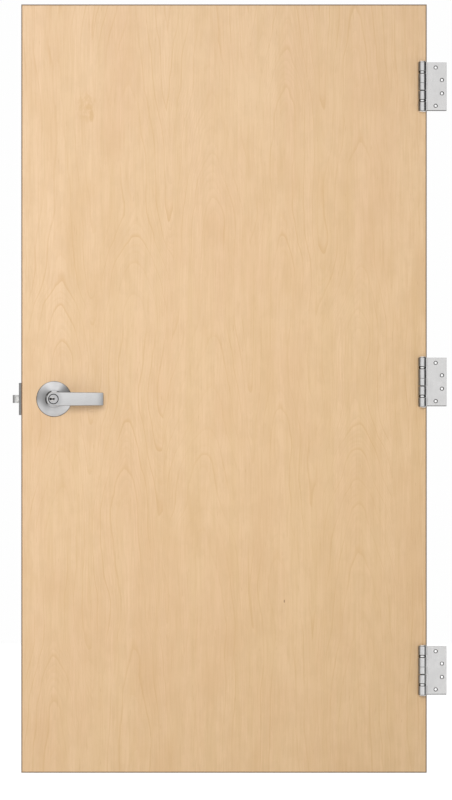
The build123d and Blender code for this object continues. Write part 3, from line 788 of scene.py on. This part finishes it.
def plug_tone(finish, base):
    """Painted shade: dark at the keyway's two ends, and black below the plug's face, inside the
    keyway.
    """
    middle = middle_of("key_plug")
    # Painted shade at the keyway's two ends.
    head = finish.oval((middle.x - KEYWAY_ENDS, middle.z), *KEYWAY_HEAD)
    foot = finish.oval((middle.x + KEYWAY_ENDS, middle.z), *KEYWAY_FOOT)
    base = finish.blend(finish.times(finish.most(head, foot), 0.95), base, PAINTED_SHADE_DARK)
    # Painted shade: black inside the keyway, below the plug's face.
    below_face = finish.minus(finish.axes()[Y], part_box("key_plug")[0].y)
    return finish.blend(finish.rise(below_face, *KEYWAY_START), base, KEYWAY_BLACK)


def dress(material, *names):
    """Gives CAD nodes their finish."""
    for name in names:
        for slot in nodes[name].material_slots:
            slot.material = material


BAND_LIGHT = colour(218, 184, 146)
BAND_DARK = colour(200, 163, 123)
STILE_LIGHT = colour(205, 166, 122)
STILE_DARK = colour(176, 134, 94)
RAIL_DARK = colour(178, 136, 95)
FIBRE_LIGHT = colour(122, 94, 68)
FIBRE_DARK = colour(104, 80, 57)
CHIP_LIGHT = colour(196, 160, 116)
CHIP_DARK = colour(140, 106, 72)
FIBRE_SIZE = 0.0006
CHIP_SIZE = 0.003


def dress_wood():
    """The door leaf: veneers, edge bands, stiles, rails, crossbands and core."""
    dress(face_veneer("front_face", FRONT_SEED, ARCH_TOPS, True), "front_veneer")
    dress(face_veneer("back_face", BACK_SEED, ARCH_TOPS[::-1], False), "back_veneer")
    band_wood = edge_wood("edge_band_wood", BAND_LIGHT, BAND_DARK, Z)
    stile_wood = edge_wood("stile_wood", STILE_LIGHT, STILE_DARK, Z)
    rail_wood = edge_wood("rail_wood", STILE_LIGHT, RAIL_DARK, X)
    crossband = pressed_board("fibre_crossband", FIBRE_LIGHT, FIBRE_DARK, FIBRE_SIZE)
    dress(band_wood, "latch_edge_band", "hinge_edge_band")
    dress(stile_wood, "latch_stile", "hinge_stile")
    dress(rail_wood, "top_rail", "bottom_rail")
    dress(crossband, "front_crossband", "back_crossband")
    dress(pressed_board("chip_core", CHIP_LIGHT, CHIP_DARK, CHIP_SIZE), "core")


LEAF_GREY = grey(0.67)
POLISHED_GREY = grey(0.85)
ROSE_GREY = (0.82, 0.825, 0.835, 1.0)
LEVER_GREY = (0.66, 0.665, 0.67, 1.0)
CYLINDER_GREY = (0.52, 0.52, 0.53, 1.0)
PLUG_GREY = (0.58, 0.57, 0.56, 1.0)
PLATE_GREY = grey(0.26)
BOLT_GREY = grey(0.6)
PLUNGER_GREY = (0.66, 0.66, 0.65, 1.0)
CASE_GREY = (0.5, 0.5, 0.48, 1.0)
SCREW_GREY = (0.7, 0.7, 0.69, 1.0)


def dress_hinge(place):
    """One hinge: its two leaves, of which only the frame's has open holes, its pin and its rings."""
    for leaf, open_holes in (("frame_leaf", True), ("edge_leaf", False)):
        tone = partial(leaf_tone, place, open_holes)
        steel = brushed_metal(f"{place}_{leaf}_steel", LEAF_GREY, Z, 0.3, tone=tone)
        dress(steel, f"{place}_hinge_{leaf}")
    tone = partial(pin_tone, place)
    pin_steel = brushed_metal(f"{place}_pin_steel", POLISHED_GREY, Z, 0.26, tone=tone)
    dress(pin_steel, f"{place}_hinge_pin")
    tone = partial(ring_tone, place)
    ring_steel = brushed_metal(f"{place}_ring_steel", POLISHED_GREY, Z, 0.22, tone=tone)
    dress(ring_steel, f"{place}_hinge_bearings")


def dress_lock():
    """The roses and levers, the cylinder and its plug, and the latch."""
    turned = {"around": lock_axis}
    rose = brushed_metal("rose_chrome", ROSE_GREY, X, 0.4, tone=rose_tone, pull=0.85, **turned)
    lever = brushed_metal("lever_chrome", LEVER_GREY, X, 0.32, tone=lever_tone, pull=0.6)
    cylinder = brushed_metal(
        "cylinder_chrome", CYLINDER_GREY, X, 0.26, tone=cylinder_tone, **turned
    )
    plug = brushed_metal("plug_metal", PLUG_GREY, X, 0.25, tone=plug_tone, **turned)
    bolt = brushed_metal("bolt_steel", BOLT_GREY, X, 0.3, tone=bolt_tone)
    plunger = brushed_metal("plunger_steel", PLUNGER_GREY, X, 0.3, metal=0.5)
    dress(rose, "outside_rose", "inside_rose")
    dress(lever, "outside_lever", "inside_lever")
    dress(cylinder, "key_cylinder")
    dress(plug, "key_plug")
    dress(brushed_metal("plate_chrome", PLATE_GREY, Z, 0.34), "face_plate")
    dress(bolt, "latch_bolt")
    dress(plunger, "deadlatch_plunger")
    dress(brushed_metal("case_zinc", CASE_GREY, X, 0.45), "lock_chassis", "latch_case")


# A screw: the grid of its head, and the crossed recess, by shares of the head's radius.
SCREW_TURNS = 72
HEAD_RINGS = 22
RECESS_DEPTH = 0.0021
RECESS_REACH = 0.52
RECESS_ARM = 0.085
RECESS_WALL = 1.6
RECESS_END = 6
HEAD_CROWN = 0.00025
CROWN_POWER = 6

# Its turned profile below the rim, by shares of the head's radius: lip, cone's end and shank.
LIP_SHARE = 0.98
LIP_DEPTH = 0.0006
CONE_SHARE = 0.52
CONE_DEPTH_SHARE = 0.45
SHANK_SHARE = 0.46
SHANK_START_SHARE = 0.6
POINT_LENGTH = 0.004
SHARP_ANGLE = math.radians(28)
MERGE_DISTANCE = 0.000001


def make_screw(name, place, out, radius, length, turn):
    """A countersunk screw with a crossed recess, seen from out, its head flush with place.

    The head's top is a grid of radius and angle, sunk where it lies in either arm of the cross:
    the depth falls off smoothly over an arm's width and towards its end. Past the rim the same
    grid goes on as a profile turned about the axis: the cone, the shank and the point.
    """
    angle = np.linspace(0, 2 * np.pi, SCREW_TURNS, endpoint=False)
    share = np.linspace(0.0, 1.0, HEAD_RINGS)
    along, around = np.meshgrid(share, angle, indexing="ij")
    first = np.abs(along * np.cos(around))
    second = np.abs(along * np.sin(around))
    arm = np.clip(RECESS_WALL - np.minimum(first, second) / RECESS_ARM, 0, 1)
    end = np.clip((RECESS_REACH - np.maximum(first, second)) * RECESS_END, 0, 1)
    head_heights = -RECESS_DEPTH * arm * end - HEAD_CROWN * along**CROWN_POWER
    shares = (LIP_SHARE, CONE_SHARE, SHANK_SHARE, SHANK_SHARE, 0.0)
    cone_end = CONE_DEPTH_SHARE * radius
    shank_start = SHANK_START_SHARE * radius
    depths = (LIP_DEPTH, cone_end, shank_start, length - POINT_LENGTH, length)
    profile_radii = np.repeat(np.array(shares)[:, None] * radius, SCREW_TURNS, axis=1)
    profile_heights = np.repeat(-np.array(depths)[:, None], SCREW_TURNS, axis=1)
    radii = np.concatenate([along * radius, profile_radii])
    heights = np.concatenate([head_heights, profile_heights])
    angles = np.broadcast_to(angle + turn, radii.shape)
    normal = np.array(out, dtype=float)
    side = np.cross(normal, (0.0, 0.0, 1.0))
    side /= np.linalg.norm(side)
    up = np.cross(side, normal)
    points = (
        np.array(place)
        + (radii * np.cos(angles))[..., None] * side
        + (radii * np.sin(angles))[..., None] * up
        + heights[..., None] * normal
    )
    return surface_piece(name, points)


def surface_piece(name, points):
    """A mesh piece from a grid of points that closes round in its second direction.

    Its first and last rows each lie on one point of the axis, where they are merged.
    """
    rows, columns = points.shape[:2]
    row, column = np.meshgrid(np.arange(rows - 1), np.arange(columns), indexing="ij")
    after = (column + 1) % columns
    here = row * columns
    below = here + columns
    corners = (here + column, here + after, below + after, below + column)
    faces = np.stack([corner.ravel() for corner in corners], axis=1)
    mesh = bpy.data.meshes.new(name)
    mesh.from_pydata(points.reshape(-1, 3), [], faces)
    closed = bmesh.new()
    closed.from_mesh(mesh)
    bmesh.ops.remove_doubles(closed, verts=closed.verts, dist=MERGE_DISTANCE)
    closed.to_mesh(mesh)
    closed.free()
    mesh.shade_smooth()
    mesh.set_sharp_from_angle(angle=SHARP_ANGLE)
    piece = bpy.data.objects.new(name, mesh)
    bpy.context.scene.collection.objects.link(piece)
    return piece


# Screw places: on a hinge's edge leaf, back from the pin and up from its middle, and on the face
# plate, up from its middle. Each screw is turned a little further than the one before it.
NEAR_SCREW = 0.0220
FAR_SCREW = 0.0385
OUTER_SCREWS = 0.0500
INNER_SCREWS = 0.0175
PLATE_SCREWS = 0.0320
HINGE_SCREW_RADIUS = 0.0053
HINGE_SCREW_LENGTH = 0.038
HINGE_SCREW_TURN = 0.9
PLATE_SCREW_RADIUS = 0.0040
PLATE_SCREW_LENGTH = 0.022
PLATE_SCREW_TURN = 0.7
SCREW_SINK = 0.0002
TO_HINGES = (1, 0, 0)
TO_LATCH = (-1, 0, 0)


def add_screws():
    """Screws in the three edge leaves and in the face plate; the frame leaves' holes stay open."""
    steel = brushed_metal("screw_steel", SCREW_GREY, Y, 0.3)
    leaf_places = (
        (NEAR_SCREW, OUTER_SCREWS),
        (NEAR_SCREW, -OUTER_SCREWS),
        (FAR_SCREW, INNER_SCREWS),
        (FAR_SCREW, -INNER_SCREWS),
    )
    for place in PLACES:
        leaf = f"{place}_hinge_edge_leaf"
        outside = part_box(leaf)[1].x - SCREW_SINK
        level = middle_of(leaf).z
        for number, (back, rise) in enumerate(leaf_places, 1):
            screw = make_screw(
                name=f"{place}_hinge_screw_{number}",
                place=(outside, pin_axis.y + back, level + rise),
                out=TO_HINGES,
                radius=HINGE_SCREW_RADIUS,
                length=HINGE_SCREW_LENGTH,
                turn=HINGE_SCREW_TURN * number + level,
            )
            screw.data.materials.append(steel)
            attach(screw, "door")
    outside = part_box("face_plate")[0].x + SCREW_SINK
    plate_middle = middle_of("face_plate")
    for number, rise in enumerate((PLATE_SCREWS, -PLATE_SCREWS), 1):
        screw = make_screw(
            name=f"face_plate_screw_{number}",
            place=(outside, plate_middle.y, plate_middle.z + rise),
            out=TO_LATCH,
            radius=PLATE_SCREW_RADIUS,
            length=PLATE_SCREW_LENGTH,
            turn=PLATE_SCREW_TURN * number,
        )
        screw.data.materials.append(steel)
        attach(screw, "door")


# The studio. A direction's x, y and z say which way it looks: x rightwards, y away from the
# camera and z up. AMBIENT_SHARE is how much of the room's light falls on rough surfaces.
PANEL_WAY = (-0.4, 0.1, 0.91)
PANEL_LIGHT = 1.4
AMBIENT_SHARE = 0.52
ROOM_COLOUR = (1.0, 0.99, 0.985, 1.0)
WHITE = (1.0, 1.0, 1.0, 1.0)
BACKDROP_LIGHT = 0.992


def make_world():
    """Soft studio surroundings.

    They are bright in front and straight behind, and dark at the sides and overhead, apart from
    one panel high on the left. The camera sees a plain white backdrop in their place.
    """
    world = bpy.data.worlds.new("studio")
    bpy.context.scene.world = world
    sky = Shading(world)
    way = sky.add("ShaderNodeTexCoord", {}, output="Generated")
    x, y, z = sky.split(way)
    left_end = sky.spread(x, -1.0, -0.55, 0.03, 1.0)
    right_end = sky.spread(x, 0.45, 0.85, 1.0, 0.01)
    rising = sky.spread(z, 0.2, 0.75, 1.0, 1.2)
    overhead = sky.spread(z, 0.88, 0.98, 1.0, 0.04)
    front_to_back = sky.spread(y, -0.1, 0.3, 1.05, 0.4)
    far_back = sky.rise(y, 0.55, 0.85, 0.55)
    depth = sky.plus(front_to_back, far_back)
    room = sky.times(left_end, right_end, rising, overhead, depth)
    panel = sky.rise(sky.dot(way, PANEL_WAY), 0.85, 0.95, PANEL_LIGHT)
    on_rough = sky.add("ShaderNodeLightPath", {}, output="Is Diffuse Ray")
    held_back = sky.times(on_rough, 1 - AMBIENT_SHARE)
    light = sky.times(sky.most(room, panel), sky.minus(1.0, held_back))
    around = sky.add("ShaderNodeBackground", {"Color": ROOM_COLOUR, "Strength": light})
    backdrop = sky.add("ShaderNodeBackground", {"Color": WHITE, "Strength": BACKDROP_LIGHT})
    seen = sky.add("ShaderNodeLightPath", {}, output="Is Camera Ray")
    mixed = sky.add("ShaderNodeMixShader", {0: seen, 1: around, 2: backdrop})
    sky.add("ShaderNodeOutputWorld", {"Surface": mixed})


# Lamps: their soft size and cone, their powers, and their places from the lock's axis.
LAMP_SIZE = 1.1
LAMP_CONE = math.radians(80)
KEY_POWER = 1000
KEY_DISTANCE = 6.0
KEY_HEIGHT = 1.2
KEY_AIM_LEFT = 1.25
KEY_AIM_UP = 0.1
BACK_POWER = 480
BACK_DISTANCE = 5.0
BACK_HEIGHT = 1.6


def make_lamp(name, power, place, target):
    """A large soft spot, which metal doesn't mirror."""
    data = bpy.data.lights.new(name, "SPOT")
    data.energy = power
    data.shadow_soft_size = LAMP_SIZE
    data.spot_size = LAMP_CONE
    data.spot_blend = 1.0
    lamp = bpy.data.objects.new(name, data)
    bpy.context.scene.collection.objects.link(lamp)
    lamp.location = place
    lamp.rotation_mode = "QUATERNION"
    lamp.rotation_quaternion = (target - place).to_track_quat("-Z", "Y")
    lamp.visible_glossy = False


def make_lamps():
    """A key light near the camera's line, aimed left of the door, and a weaker one at the back."""
    key_place = Vector((lock_axis.x, door_front - KEY_DISTANCE, lock_axis.z + KEY_HEIGHT))
    key_target = Vector((latch_edge - KEY_AIM_LEFT, door_front, door_middle.z + KEY_AIM_UP))
    back_place = Vector((lock_axis.x, door_back + BACK_DISTANCE, lock_axis.z + BACK_HEIGHT))
    make_lamp("key_light", KEY_POWER, key_place, key_target)
    make_lamp("back_light", BACK_POWER, back_place, door_middle)


# The floor lies so far below the door that it stays outside the photograph's frame. Its glow grows
# between two distances from the door's middle, from one strength to another.
FLOOR_DROP = 0.3
FLOOR_RADIUS = 14.0
FLOOR_SIDES = 96
FLOOR_SPECKLE = (3.0, 3.0, 3.0)
GLOW_START = 0.9
GLOW_END = 2.7
LEAST_GLOW = 0.1
MOST_GLOW = 0.68


def make_floor():
    """A round pale floor below the door, which grows white with distance, as a studio's does."""
    angle = np.linspace(0, 2 * np.pi, FLOOR_SIDES, endpoint=False)
    across = FLOOR_RADIUS * np.cos(angle) + door_middle.x
    level = np.full(FLOOR_SIDES, door_bottom - FLOOR_DROP)
    rim = np.stack([across, FLOOR_RADIUS * np.sin(angle), level], axis=1)
    mesh = bpy.data.meshes.new("floor")
    mesh.from_pydata(rim, [], [tuple(range(FLOOR_SIDES))])
    floor = bpy.data.objects.new("floor", mesh)
    bpy.context.scene.collection.objects.link(floor)
    finish = new_finish("floor_paint")
    paint = finish.blend(finish.grain(FLOOR_SPECKLE), grey(0.80), grey(0.84))
    away = finish.distance(door_middle, X, Y)
    glow = finish.spread(away, GLOW_START, GLOW_END, LEAST_GLOW, MOST_GLOW)
    shining = {"Emission_Color": WHITE, "Emission_Strength": glow}
    mesh.materials.append(finish.surface(Base_Color=paint, Roughness=0.9, **shining))


bpy.context.scene.view_settings.view_transform = "Standard"
make_camera()
make_world()
make_lamps()
make_floor()
dress_wood()
for hinge_place in PLACES:
    dress_hinge(hinge_place)
dress_lock()
add_screws()
